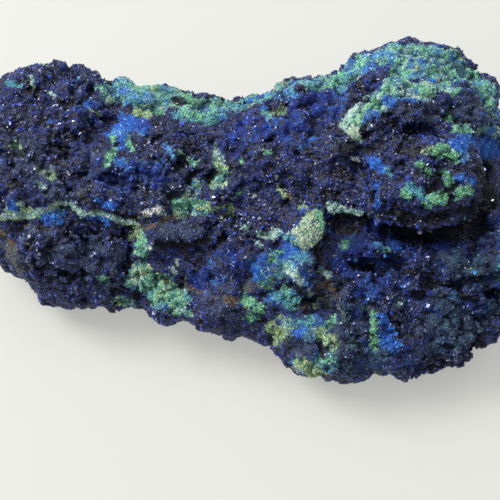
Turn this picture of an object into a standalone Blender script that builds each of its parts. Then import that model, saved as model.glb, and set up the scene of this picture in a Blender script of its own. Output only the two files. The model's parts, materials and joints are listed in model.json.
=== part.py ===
"""A rough azurite and malachite specimen, about 185 mm long, lying on its broad side.

One natural solid: a long stone with a narrow waist and a nodular crust. The upper crust of the left lobe ends in
a ledge along a seam, and on the right lobe a big knob overhangs a deep hollow with terraces below it.
X runs along the stone, Y away from the viewer and Z up. Sizes in the tables are millimetres.
"""

import math

import bmesh
import bpy
import numpy as np
from mathutils import Euler, Vector
from mathutils.bvhtree import BVHTree

MM = 0.001

# Rings along each loft, the share of them that crowd toward its ends, and points round each ring
RINGS = 72
CROWDED_SHARE = 0.35
POINTS_ROUND = 72

# The stone itself, station by station: place along X, near edge, far edge, place of the crest across,
# height of the crest, height of the widest line, height of the underside
STONE = (
    (-93, 8, 28, 19, 24, 17, 12),
    (-89.5, -4, 40, 17, 31, 16, 8),
    (-85, -11, 50, 15, 35, 16, 6),
    (-77, -19, 57, 13, 38, 16, 4),
    (-66, -29.5, 57, 12, 40, 15, 3),
    (-52, -29.5, 54, 10, 40, 15, 3),
    (-38, -27, 52, 8, 38, 14, 3),
    (-24, -31, 50, 7, 35, 13, 4),
    (-12, -35, 46, 6, 36, 13, 4),
    (0, -40.5, 50.5, 5, 38, 13, 4),
    (12, -48, 54.5, 6, 42, 13, 3),
    (24, -54, 56.5, 9, 45, 13, 3),
    (36, -52, 61, 12, 48, 13, 3),
    (50, -51, 64, 15, 51, 13, 3),
    (64, -49.5, 65, 15, 51, 14, 3),
    (75, -45, 60, 10, 47, 15, 4),
    (82, -40, 44, 4, 41, 16, 6),
    (87, -30, 24, -4, 36, 17, 9),
    (91, -18, 7, -6, 28, 18, 13),
)

# The upper crust of the left lobe and the waist. Its near edge is the ledge along the seam.
CRUST = (
    (-93, 10, 30, 20, 33, 27, 16),
    (-88, -4, 42, 22, 41, 33, 16),
    (-80, -8, 49, 23, 45, 37, 16),
    (-70, -7.5, 51, 24, 46, 38, 16),
    (-61, -6, 50, 24, 46, 39, 16),
    (-51, -7.5, 47, 22, 45, 38, 16),
    (-40, -9, 45, 19, 44, 37, 16),
    (-31, -8, 44, 18, 43, 37, 16),
    (-22, -5, 42, 18, 42, 36, 16),
    (-12, -3, 40, 18, 42, 35, 16),
    (2, -2, 37, 18, 43, 34, 16),
    (13, 3, 33, 18, 43, 34, 16),
)

# Superellipse powers: 2 is round, more is squarer, less is a slope. The near side goes from the left lobe's power
# to the right lobe's between two places along X.
POWER_FAR = 2.4
POWER_NEAR_LEFT = 2.2
POWER_NEAR_RIGHT = 1.35
NEAR_CHANGE = (-20, 30)
POWER_UNDER = 3.0
CRUST_POWER = 3.4

# Rounded masses grown on the stone: centre, half sizes, turn about Z and tilt about X in degrees, squareness
MASSES = {
    "knob": ((58, -2, 47.5), (18, 16, 12), 7, 6, 2.9),
    "knob left": ((45, -3, 45.5), (11, 13.5, 10.5), -8, 5, 2.5),
    "knob flank": ((37, 14, 43), (15, 14, 13), -12, 0, 2.1),
    "knob far": ((56, 24, 47), (19, 14, 12), 4, -6, 2.3),
    "brow": ((51.5, 20.5, 57), (14, 9.5, 7), 0, 6, 2.9),
    "brow right": ((68, 20, 52), (8, 10, 7.5), -8, 0, 2.4),
    "far crown": ((54, 36, 35), (26, 22, 20), 2, -14, 2.3),
    "far right corner": ((73.5, 31, 31), (11, 15.5, 17), -3, -10, 3.2),
    "far left shoulder": ((24, 32, 33), (21, 15, 15), -14, -10, 2.3),
    "crystal hill": ((12, 18, 34), (22, 20, 14), -8, 4, 2.3),
    "right block": ((81.5, -19, 30.5), (9.5, 11.5, 12.5), 4, 6, 3.6),
    "right step": ((83, -5, 32), (8, 7, 12.5), 0, 4, 3.0),
    "terrace above left": ((41, -19, 27.5), (13, 7, 8.5), -6, 8, 3.0),
    "terrace above right": ((64, -21, 27.5), (15, 7.5, 8.5), 4, 6, 3.0),
    "terrace below": ((64, -36, 17), (20, 10, 10), 8, 16, 2.6),
    "near left slope": ((27, -41, 16), (13, 12, 11), -20, 14, 2.4),
    "near middle slope": ((45, -40, 17), (12, 11, 11), 0, 14, 2.6),
    "near tip": ((52, -47, 9), (6, 6.5, 6.5), 0, 14, 2.6),
    "near tip left": ((30, -47, 9), (7, 6, 6.5), -6, 14, 2.6),
    "near corner": ((18.5, -42.5, 9.5), (6, 6.5, 7), -20, 10, 2.4),
    "waist apron": ((-10, -27, 16), (16, 11, 11), -14, 16, 2.4),
    "rim": ((-27, -27, 15), (8.5, 8.5, 9), -14, 14, 2.4),
    "rim knob": ((-23, -28, 16), (4.5, 6, 7.5), 0, 12, 2.2),
    "left bulge": ((-62, -12, 23), (17, 14, 14), 4, 10, 2.5),
    "left bulge right": ((-49, -15, 22), (9, 12, 13), -8, 8, 2.4),
    "left end": ((-84, 4, 22), (10, 14, 13), 0, 4, 2.6),
    "middle boss": ((2, -16, 29), (10, 10, 11), 0, 10, 2.3),
}

# Blocks with flat faces: centre, sizes, turn about Z and tilt about X in degrees
BLOCKS = {
    "pale block": ((18.6, -14.5, 38), (9, 10.5, 14), -10, 14),
    "blue block": ((18, -26, 31), (8, 12, 14), 4, 20),
    "shelf slab": ((-23.5, -11, 33.8), (18, 9.5, 6.5), 2, 12),
    "corner slab": ((76.5, 29, 42), (13, 23, 11), -3, -6),
    "rust step": ((31, -25, 25), (8, 14, 12), 8, 24),
}

# Hollows cut along a line: each point of the line and the radius there
HOLLOWS = {
    "under the knob": (((29, -12, 44), 1.5), ((38, -14, 42.5), 2.6), ((47, -13.5, 41.5), 3.8), ((56, -12.5, 41), 4.6),
                       ((66, -12, 41), 4.8), ((74, -8, 42.5), 4)),
    "mouth under the knob": (((36, -18, 40.5), 2), ((46, -19, 39.8), 3), ((57, -18.5, 39.5), 3.8),
                             ((67, -17.5, 39.5), 4), ((75, -13, 40.5), 3.5)),
    "right of the knob": (((76, -8, 44), 4), ((77.5, 0, 46), 4), ((78, 9, 48), 2.5), ((77, 14, 50), 1.2)),
    "left of the knob": (((37, 3, 51), 1.5), ((36.5, -5, 49), 1.8), ((36.5, -12, 46), 1.5)),
    "pit": (((34.5, 5.5, 55), 3), ((35, 5.5, 47), 3.4)),
    "pit tail": (((36, 4, 52), 2), ((37, 0, 52), 1.4)),
    "under the brow": (((40, 12, 58.5), 1.3), ((50, 10.8, 58.5), 2.2), ((59, 12.5, 58), 1.8)),
    "brow cleft": (((64.5, 21, 60), 1.6), ((64.5, 16, 57), 1.8)),
    "second ledge": (((55, -28, 26), 1.2), ((61, -29, 25.5), 2.6), ((68, -29, 25.5), 3.2), ((78, -29.5, 26), 2.8),
                     ((90, -27, 25), 2.2)),
    "round recess": (((34, -23, 35), 2.5), ((41, -24, 34), 3.2), ((47, -23, 34), 2.2)),
    "terrace cleft": (((66, -19, 39), 1.5), ((62, -23, 35), 2), ((60, -26, 30), 1.5)),
    "right of the blocks": (((24.5, -17, 41), 2), ((25.5, -22, 37), 2.5), ((25.5, -28, 32), 1.9)),
    "left of the right block": (((73, -12, 40), 2.4), ((72.5, -20, 37), 2.2), ((72, -27, 31), 2)),
    "under the shelf": (((-31, -17, 31.5), 1.2), ((-23, -17.5, 31.5), 2.2), ((-14, -16.5, 32), 2)),
    "near notch": (((47.5, -56, 7), 3.6), ((47, -50, 13), 2)),
    "far notch": (((57.5, 66, 38), 3), ((57.5, 60, 49), 1.8)),
    "far hole": (((-24, 44, 36), 1.6), ((-22.5, 41, 37.5), 2)),
}

# Creases that follow the surface seen from above: half width, depth, and the places (X, Y) of the line
CREASES = {
    "seam left": (1.3, 2.1, (-90, -6), (-81, -7.6), (-72, -7.2), (-62, -5.2), (-58, -6), (-52, -8), (-46, -9.3)),
    "seam middle": (1.8, 4.0, (-50, -9), (-45, -9.6), (-39, -11)),
    "seam right": (1.5, 3.2, (-39, -11.2), (-32, -10.4), (-23, -7.4), (-16, -5.4), (-6.5, -4.6)),
    "left groove": (2.0, 5.0, (-39, -11), (-38.6, -16), (-41, -21), (-41.5, -25), (-45, -30)),
    "left end crack": (1.5, 2.2, (-80, 12), (-78, 8), (-70, 6), (-61, 9)),
    "long crack": (1.4, 2.0, (-54, 3), (-45.6, 3), (-39, 5.5), (-29, 3.5)),
    "far crack": (1.5, 2.8, (-54, 25), (-49, 26.5), (-44, 27.5)),
    "waist crack": (1.6, 2.8, (-26, 8), (-23.7, 10), (-19, 14)),
    "hill crack": (1.5, 3.0, (16, 22), (24.7, 22.5), (28, 17), (31, 13)),
    "hill crack low": (1.4, 2.2, (-2, 3), (8, 1), (17, 3), (25, -1)),
    "knob crack": (1.4, 4.0, (55, -10.5), (59, -7), (60, -3), (66, -2.5), (71, -4)),
    "near crack": (1.3, 2.8, (44, -40.5), (48, -41.5), (54, -43.5)),
    "near crack right": (1.2, 2.5, (57, -44), (64, -44), (71, -42.5)),
    "rust crack": (1.4, 2.8, (-20, -22), (-14, -25), (-6, -26), (1, -27)),
    "middle crack": (1.5, 2.8, (-8, -13), (-2, -12), (5, -14), (12, -13)),
    "slope crack": (1.5, 3.0, (24, -43), (24.5, -38), (26, -34)),
}

# Worn bumps that the stone rests on: centre and half sizes
FEET = {
    "left far": ((-62, 26, 5), (15, 13, 7.5)),
    "left near": ((-58, -9, 5), (13, 9, 7.5)),
    "right near": ((38, -27, 5), (17, 12, 7.5)),
    "right far": ((56, 32, 5), (16, 14, 7.5)),
}

# Lumps and nodules of the crust: spacing, height and the level between in and out
LUMPS = (("lumps", 21.0, 3.4, 0.26),)
NODULES = (("large_nodules", 10.5, 4.0, 0.26), ("small_nodules", 6.0, 2.6, 0.26))

# Grain of the meshes at each stage
BLEND_VOXEL = 1.6
SURFACE_VOXEL = 1.2
CUTTER_VOXEL = 0.8

# The solid's triangles, and how freely they go on the underside and elsewhere, by the slope of the surface
SOLID_TRIANGLES = 9750
UNDERSIDE_SLOPES = (-0.6, 0.0)
UNDERSIDE_WEIGHT = 1.0
UPPER_WEIGHT = 0.97
WEIGHT_FACTOR = 1.0

# Above all of the stone, and the block of ground whose top is at height zero
OVERHEAD = 200
GROUND = ((0, 0, -50), (400, 400, 100))

COLOUR = (0.020, 0.026, 0.115, 1.0)
ROUGHNESS = 0.55


def clear_scene():
    for obj in list(bpy.data.objects):
        bpy.data.objects.remove(obj, do_unlink=True)


def smooth_rows(table, places):
    """The table's columns at these places of its first one, on a smooth curve through its rows."""
    rows = np.array(table, float)
    x = rows[:, 0]
    slopes = np.gradient(rows, x, axis=0)
    i = np.clip(np.searchsorted(x, places) - 1, 0, len(x) - 2)
    step = (x[i + 1] - x[i])[:, None]
    t = ((places - x[i]) / step[:, 0])[:, None]
    return (
        (2 * t**3 - 3 * t**2 + 1) * rows[i]
        + (t**3 - 2 * t**2 + t) * step * slopes[i]
        + (3 * t**2 - 2 * t**3) * rows[i + 1]
        + (t**3 - t**2) * step * slopes[i + 1]
    )


def signed_power(value, power):
    return math.copysign(abs(value) ** power, value)


def ring(row, near_power, far_power):
    """The points of one cross-section: a superellipse whose four quarters meet at its crest and widest line."""
    x, near, far, crest, top, widest, under = row
    points = []
    for k in range(POINTS_ROUND):
        turn = 2 * math.pi * k / POINTS_ROUND
        c, s = math.cos(turn), math.sin(turn)
        power = POWER_UNDER if s < 0 else (far_power if c > 0 else near_power)
        reach = far - crest if c > 0 else crest - near
        rise = top - widest if s > 0 else widest - under
        y = crest + reach * signed_power(c, 2 / power)
        z = widest + rise * signed_power(s, 2 / power)
        points.append(Vector((x, y, z)) * MM)
    return points


def add_loft(mesh, table, near_powers, far_power):
    """Adds a closed skin through the rings of a station table to the mesh."""
    first, last = table[0][0], table[-1][0]
    share = 0.5 - 0.5 * np.cos(np.linspace(0, math.pi, RINGS))
    share = CROWDED_SHARE * share + (1 - CROWDED_SHARE) * np.linspace(0, 1, RINGS)
    places = first + (last - first) * share
    rings = []
    for row in smooth_rows(table, places):
        mix = np.interp(row[0], NEAR_CHANGE, (0, 1))
        near_power = near_powers[0] * (1 - mix) + near_powers[1] * mix
        rings.append([mesh.verts.new(p) for p in ring(row, near_power, far_power)])
    for one, two in zip(rings, rings[1:]):
        for k in range(POINTS_ROUND):
            after = (k + 1) % POINTS_ROUND
            mesh.faces.new((one[k], one[after], two[after], two[k]))
    mesh.faces.new(reversed(rings[0]))
    mesh.faces.new(rings[-1])


def placed(centre, sizes, turn=0.0, tilt=0.0):
    """The matrix that gives a unit shape these sizes, angles in degrees and centre in millimetres."""
    angles = Euler((math.radians(tilt), 0.0, math.radians(turn)))
    matrix = angles.to_matrix().to_4x4()
    matrix.translation = Vector(centre) * MM
    scale = Vector(sizes) * MM
    for column in range(3):
        for row in range(3):
            matrix[row][column] *= scale[column]
    return matrix


def add_mass(mesh, centre, half_sizes, turn=0.0, tilt=0.0, squareness=2.0):
    """Adds a ball whose sides are flattened by the squareness, sized and placed."""
    matrix = placed(centre, half_sizes, turn, tilt)
    made = bmesh.ops.create_icosphere(mesh, subdivisions=4, radius=1.0)
    for vertex in made["verts"]:
        size = sum(abs(value) ** squareness for value in vertex.co) ** (1 / squareness)
        vertex.co = matrix @ (vertex.co / size)


def add_block(mesh, centre, sizes, turn=0.0, tilt=0.0):
    bmesh.ops.create_cube(mesh, size=1.0, matrix=placed(centre, sizes, turn, tilt))


def mesh_object(name, fill, *arguments):
    """A new object whose mesh the function fill makes."""
    mesh = bmesh.new()
    fill(mesh, *arguments)
    bmesh.ops.recalc_face_normals(mesh, faces=mesh.faces)
    data = bpy.data.meshes.new(name)
    mesh.to_mesh(data)
    mesh.free()
    obj = bpy.data.objects.new(name, data)
    bpy.context.scene.collection.objects.link(obj)
    return obj


def grown_shapes(mesh):
    """The stone, its crust and all that grows on it, as closed shapes that run into each other."""
    add_loft(mesh, STONE, (POWER_NEAR_LEFT, POWER_NEAR_RIGHT), POWER_FAR)
    add_loft(mesh, CRUST, (CRUST_POWER, CRUST_POWER), CRUST_POWER)
    for mass in MASSES.values():
        add_mass(mesh, *mass)
    for block in BLOCKS.values():
        add_block(mesh, *block)
    for centre, half_sizes in FEET.values():
        add_mass(mesh, centre, half_sizes)


def apply_modifiers(obj):
    """Gives the object the mesh that its modifiers make, and takes them away."""
    graph = bpy.context.evaluated_depsgraph_get()
    made = bpy.data.meshes.new_from_object(obj.evaluated_get(graph))
    obj.modifiers.clear()
    obj.data = made


def remesh(obj, voxel):
    modifier = obj.modifiers.new("skin", "REMESH")
    modifier.mode = "VOXEL"
    modifier.voxel_size = voxel * MM
    apply_modifiers(obj)


def smooth(obj, factor, rounds):
    modifier = obj.modifiers.new("weathered", "SMOOTH")
    modifier.factor = factor
    modifier.iterations = rounds
    apply_modifiers(obj)


def tube(start, end, stretch=1.0):
    """The centres and half sizes of balls in a row between two (centre, radius) pairs."""
    (first, first_radius), (last, last_radius) = start, end
    count = max(2, math.ceil(math.dist(first, last) / (0.5 * min(first_radius, last_radius))))
    share = np.linspace(0, 1, count + 1)[:, None]
    centres = np.array(first) * (1 - share) + np.array(last) * share
    radii = first_radius * (1 - share) + last_radius * share
    return np.hstack([centres, radii, radii, radii * stretch])


def crease(surface, half_width, depth, places):
    """The balls along the line that lie this deep in the surface below it, as far as there is one."""
    stretch = max(1.0, 0.75 * depth / half_width)
    line = []
    for x, y in places:
        hit = surface.ray_cast(Vector((x, y, OVERHEAD)) * MM, Vector((0, 0, -1)))[0]
        if hit is None:
            continue
        line.append(((x, y, hit.z / MM + half_width * stretch - depth), half_width))
    return [tube(start, end, stretch) for start, end in zip(line, line[1:])]


def balls_object(name, balls):
    """One object of many balls, given their centres and half sizes in millimetres."""
    mesh = bmesh.new()
    bmesh.ops.create_icosphere(mesh, subdivisions=2, radius=1.0)
    points = np.array([v.co for v in mesh.verts])
    faces = np.array([[v.index for v in face.verts] for face in mesh.faces])
    mesh.free()
    places = balls[:, None, :3] + points * balls[:, None, 3:]
    corners = faces + np.arange(len(balls))[:, None, None] * len(points)
    data = bpy.data.meshes.new(name)
    data.from_pydata((places.reshape(-1, 3) * MM).tolist(), [], corners.reshape(-1, 3).tolist())
    obj = bpy.data.objects.new(name, data)
    bpy.context.scene.collection.objects.link(obj)
    return obj


def cut_hollows(stone):
    surface = BVHTree.FromObject(stone, bpy.context.evaluated_depsgraph_get())
    balls = [tube(start, end) for line in HOLLOWS.values() for start, end in zip(line, line[1:])]
    for half_width, depth, *places in CREASES.values():
        balls += crease(surface, half_width, depth, places)
    cutter = balls_object("hollows", np.vstack(balls))
    remesh(cutter, CUTTER_VOXEL)
    subtract(stone, cutter)


def subtract(stone, cutter):
    modifier = stone.modifiers.new(cutter.name, "BOOLEAN")
    modifier.operation = "DIFFERENCE"
    modifier.object = cutter
    apply_modifiers(stone)
    bpy.data.objects.remove(cutter, do_unlink=True)


def raise_nodules(stone, name, spacing, height, level):
    """Grows round nodules of this spacing, with creases between them, all over the surface."""
    cells = bpy.data.textures.new(name, "VORONOI")
    cells.noise_scale = spacing * MM
    cells.distance_metric = "DISTANCE_SQUARED"
    modifier = stone.modifiers.new(name, "DISPLACE")
    modifier.texture = cells
    modifier.texture_coords = "LOCAL"
    modifier.mid_level = level
    modifier.strength = -height * MM
    apply_modifiers(stone)


def thin_out(stone, triangles):
    """Takes the mesh down to this many triangles, fewer where it is flat and on the underside."""
    stone.data.calc_loop_triangles()
    group = stone.vertex_groups.new(name="thinned")
    for vertex in stone.data.vertices:
        share = np.interp(vertex.normal.z, UNDERSIDE_SLOPES, (UNDERSIDE_WEIGHT, UPPER_WEIGHT))
        group.add((vertex.index,), float(share), "REPLACE")
    modifier = stone.modifiers.new("facets", "DECIMATE")
    modifier.ratio = triangles / len(stone.data.loop_triangles)
    modifier.use_collapse_triangulate = True
    modifier.vertex_group = group.name
    modifier.vertex_group_factor = WEIGHT_FACTOR
    apply_modifiers(stone)
    stone.vertex_groups.clear()


def flatten_feet(stone):
    """Cuts off what reaches below the ground, so that the stone rests on flat worn spots."""
    subtract(stone, mesh_object("ground", add_block, *GROUND))


def centre_on_origin(stone):
    """Puts the middle of the stone's box over the origin."""
    corners = np.array([v.co for v in stone.data.vertices])
    middle = (corners.min(axis=0) + corners.max(axis=0)) / 2
    for vertex in stone.data.vertices:
        vertex.co.x -= middle[0]
        vertex.co.y -= middle[1]


def crust_material():
    material = bpy.data.materials.new("azurite")
    material.use_nodes = True
    shader = material.node_tree.nodes["Principled BSDF"]
    shader.inputs["Base Color"].default_value = COLOUR
    shader.inputs["Roughness"].default_value = ROUGHNESS
    shader.inputs["Metallic"].default_value = 0.0
    return material


def main():
    clear_scene()
    stone = mesh_object("specimen", grown_shapes)
    remesh(stone, BLEND_VOXEL)
    smooth(stone, 0.5, 3)
    for lump in LUMPS:
        raise_nodules(stone, *lump)
    cut_hollows(stone)
    remesh(stone, SURFACE_VOXEL)
    for nodule in NODULES:
        raise_nodules(stone, *nodule)
    remesh(stone, SURFACE_VOXEL)
    thin_out(stone, SOLID_TRIANGLES)
    flatten_feet(stone)
    centre_on_origin(stone)
    stone.data.materials.clear()
    stone.data.materials.append(crust_material())
    stone.data.shade_flat()


main()
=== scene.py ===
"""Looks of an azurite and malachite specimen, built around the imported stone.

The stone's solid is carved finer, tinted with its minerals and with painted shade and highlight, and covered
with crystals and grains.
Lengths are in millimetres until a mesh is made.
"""

import itertools
import json
import math

import bpy
import numpy as np
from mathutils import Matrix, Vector
from mathutils.bvhtree import BVHTree

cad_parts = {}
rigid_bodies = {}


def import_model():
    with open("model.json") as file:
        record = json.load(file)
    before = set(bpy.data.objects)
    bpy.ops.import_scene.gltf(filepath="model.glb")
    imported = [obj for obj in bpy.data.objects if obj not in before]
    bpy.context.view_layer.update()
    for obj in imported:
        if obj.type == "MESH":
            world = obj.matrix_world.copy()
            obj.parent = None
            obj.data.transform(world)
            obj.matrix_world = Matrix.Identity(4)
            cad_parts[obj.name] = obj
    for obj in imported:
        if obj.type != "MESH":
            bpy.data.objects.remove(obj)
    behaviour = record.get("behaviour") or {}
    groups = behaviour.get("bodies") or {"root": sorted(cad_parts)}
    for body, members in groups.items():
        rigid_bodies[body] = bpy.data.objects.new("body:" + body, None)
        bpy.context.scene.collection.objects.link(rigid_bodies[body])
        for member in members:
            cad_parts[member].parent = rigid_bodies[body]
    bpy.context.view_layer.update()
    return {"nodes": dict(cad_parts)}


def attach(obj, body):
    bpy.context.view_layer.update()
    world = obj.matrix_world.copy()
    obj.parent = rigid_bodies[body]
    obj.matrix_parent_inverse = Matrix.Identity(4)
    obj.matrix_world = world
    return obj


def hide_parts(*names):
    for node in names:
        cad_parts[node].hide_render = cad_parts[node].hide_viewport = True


MM = 0.001
STONE = "specimen"

# The camera, as the photograph was taken
TARGET = np.array([1.028, -5.209, 0.0])
ELEVATION = math.radians(62.0)
DISTANCE = 520.0
HALF_WIDTH = 87.5
IMAGE_CENTRE = 250.0
SENSOR = 36.0
FORWARD = np.array([0.0, math.cos(ELEVATION), -math.sin(ELEVATION)])
RIGHT = np.array([1.0, 0.0, 0.0])
UP = np.array([0.0, math.sin(ELEVATION), math.cos(ELEVATION)])
EYE = TARGET - FORWARD * DISTANCE
PIXEL = HALF_WIDTH / IMAGE_CENTRE

# Carving: voxel size and smoothing passes, then (feature size, depth) of each layer of relief
WELD_REACH = 0.001
COARSE_VOXEL = 1.0
FINE_VOXEL = 0.68
SMOOTHING = 0.5
COARSE_PASSES = 4
FINE_PASSES = 2
CRUST_TRIANGLES = 197000
SWELLS = ((15.0, 0.9), (7.5, 0.5))
BIG_NODULES = (6.2, 1.5)
MIDDLE_NODULES = (2.9, 1.9)
SMALL_NODULES = (1.8, 0.75)
GAPS = (7.0, 2.4)
FINE_GAPS = (4.2, 1.6)
# A bump's top, its fall with the square of the distance, and how much bumps differ
KNOB_TOP, KNOB_FALL, KNOB_CHANCE = 0.45, 1.25, 0.35
# Gaps: how far they wander, their edge, and the noise that says where they run
GAP_WANDER, GAP_FIELD = 0.3, 2.1
GAP_EDGE, GAP_PRESENCE = (0.16, 0.02), (-0.15, 0.35)
# What calm ground takes off each size of nodule
BIG_CALM, MIDDLE_CALM, SMALL_CALM = 0.7, 0.45, 0.3
# Heights over which relief fades in, above the flat spots that the stone rests on
COARSE_FOOT, FINE_FOOT = (0.4, 3.0), (0.3, 2.0)
# Crests keep this share of their height, and the relief is a cavity at one value and a crest at the other
CREST_SHARE = 0.6
PROUD = (-0.95, 0.30)

# Noise: what scatters whole numbers, and the seed of each layer
PRIMES, MIXERS = (73856093, 19349663, 83492791, 26544357), (2246822519, 3266489917)
ROUGH_REACH = 1.45
FAR = 1e9
SWELL_SEED, BIG_SEED, GAP_SEED, LUMP_SEED, FINE_GAP_SEED, SMALL_SEED = 40, 50, 60, 70, 80, 90
EDGE_SEED, SEAM_SEED, DRIFT_SEED, ZONE_SEED, NOISE_SEED, CRYSTAL_SEED = 55, 57, 120, 200, 300, 20
EDGE_SIZE = 3.0

# Colours of the minerals, and a near-black of painted shade, linear light. Azurite's own is the first
COLOURS = {
    "azurite": (0.0085, 0.0165, 0.1080),
    "royal": (0.014, 0.046, 0.290),
    "azure": (0.028, 0.165, 0.640),
    "sky": (0.150, 0.400, 0.780),
    "turquoise": (0.130, 0.430, 0.460),
    "mint": (0.270, 0.680, 0.360),
    "leaf": (0.200, 0.500, 0.250),
    "pale": (0.580, 0.860, 0.640),
    "lime": (0.420, 0.560, 0.260),
    "cream": (0.560, 0.740, 0.450),
    "slate": (0.064, 0.084, 0.165),
    "teal": (0.036, 0.080, 0.150),
    "stone": (0.115, 0.115, 0.110),
    "rust": (0.170, 0.105, 0.058),
    "buff": (0.740, 0.710, 0.580),
    # Painted shade: a near-black for deep shadows under ledges and in pits, not a mineral
    "painted_shade": (0.005, 0.008, 0.026),
}
KINDS = tuple(COLOURS)
EARTHY = ("azure", "sky", "cream", "stone", "rust")
GRAINY = ("turquoise", "mint", "leaf", "pale", "lime", "cream", "buff", "stone", "rust", "sky")

# How strongly bare azurite holds its place, how far noise shifts that, and how sharply one mineral gives way
AZURITE_HOLD = 0.44
PATCH_FIRMNESS = 0.90
TEMPER = 0.9
NOISE_SHARES = ((4.2, 0.33), (1.4, 0.20))
SHARPNESS = 16.0
# Patches narrower than this, in pixels, have a steadier edge. Wobbles are (share, size, seed)
STEADY_RADIUS = 6.0
PATCH_EDGE = (1.35, 0.75)
PATCH_WOBBLES = ((0.35, 5.0, 100), (0.30, 1.9, 110))
GRIT_WOBBLE = (0.25, 0.9, 115)
# What faces the camera and lies inside the frame
FACING, FRAMED = (-0.15, 0.12), (1.03, 0.97)

# Zones where several minerals mingle, one with painted shade: the shares, then (radius in pixels, place,
# place...)
ZONES = (
    (
        {"turquoise": 0.50, "mint": 0.64, "azure": 0.50, "sky": 0.46, "pale": 0.42, "lime": 0.50,
         "leaf": 0.48},
        (10, (106, 92), (122, 84)), (14, (130, 92), (152, 96), (176, 102)),
        (11, (190, 108), (216, 112), (240, 106)),
    ),
    (
        {"turquoise": 0.48, "mint": 0.64, "azure": 0.54, "sky": 0.48, "pale": 0.42, "slate": 0.36,
         "royal": 0.42, "lime": 0.44},
        (12, (254, 98), (280, 90), (312, 84)), (18, (332, 78), (352, 72), (380, 62)),
        (18, (396, 54), (430, 56), (452, 62)), (16, (405, 74), (440, 80)),
        (15, (468, 76), (484, 92), (490, 108)),
    ),
    (
        {"turquoise": 0.48, "azure": 0.52, "mint": 0.42, "pale": 0.32, "slate": 0.46, "royal": 0.44},
        (14, (262, 264), (288, 266)), (10, (274, 298), (292, 300)), (9, (300, 258), (308, 280)),
        (12, (292, 326), (314, 330)), (12, (300, 364), (322, 362)),
    ),
    (
        {"turquoise": 0.48, "mint": 0.60, "lime": 0.54, "azure": 0.38, "pale": 0.48},
        (15, (142, 280), (162, 292), (176, 302)), (8, (142, 240), (140, 250)), (6, (118, 300), (130, 304)),
    ),
    (
        {"mint": 0.46, "lime": 0.44, "cream": 0.34, "azure": 0.34, "turquoise": 0.36},
        (8, (184, 204), (196, 186)), (8, (214, 184), (222, 170)), (5, (216, 148), (218, 166)),
        (7, (180, 214), (206, 206)),
    ),
    (
        {"teal": 0.54, "slate": 0.52, "royal": 0.44, "mint": 0.30},
        (16, (462, 104), (484, 112)), (18, (455, 260), (480, 275)), (12, (360, 320), (366, 345)),
        (18, (440, 310), (480, 315)), (16, (350, 360), (375, 360)), (14, (345, 330), (362, 345)),
        (14, (440, 345), (470, 335)),
    ),
    (
        {"royal": 0.46, "azure": 0.28, "sky": 0.20},
        (22, (350, 245), (395, 245)), (16, (365, 285), (400, 290)), (12, (400, 355), (415, 365)),
        (18, (225, 145), (250, 130)), (16, (105, 178), (150, 176)), (14, (225, 262), (205, 280)),
        (20, (300, 125), (330, 100)), (12, (100, 100), (90, 108)),
    ),
    (
        {"pale": 0.68, "mint": 0.68, "azure": 0.48, "cream": 0.44},
        (12, (352, 118), (366, 108), (380, 102)), (13, (392, 86), (428, 88)), (8, (442, 72), (446, 92)),
        (6, (458, 128), (496, 132)),
    ),
    (
        {"slate": 0.46},
        (30, (40, 250), (104, 268)), (10, (205, 270), (225, 285)), (16, (20, 150), (60, 190)),
        (18, (400, 305), (440, 330)), (14, (400, 362), (450, 352)), (12, (330, 370), (350, 372)),
        (14, (96, 165), (60, 190)),
    ),
    # Broken matrix, with some painted shade
    (
        {"stone": 0.48, "rust": 0.26, "slate": 0.42, "painted_shade": 0.36},
        (10, (4, 236), (12, 256), (22, 275)), (12, (318, 288), (336, 292)), (6, (250, 285), (272, 284)),
    ),
)

# The pale seam on the left, where the relief is gentle
SEAM = (
    (0, 217), (14, 216), (28, 215), (40, 211), (54, 205), (68, 204), (75, 208), (82, 213), (98, 212),
    (110, 216), (124, 222), (138, 225), (152, 225), (166, 219), (184, 216),
)
SEAM_RADIUS = 6.0
SEAM_CALM = 1.4
SEAM_WOBBLE = 0.1
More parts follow.
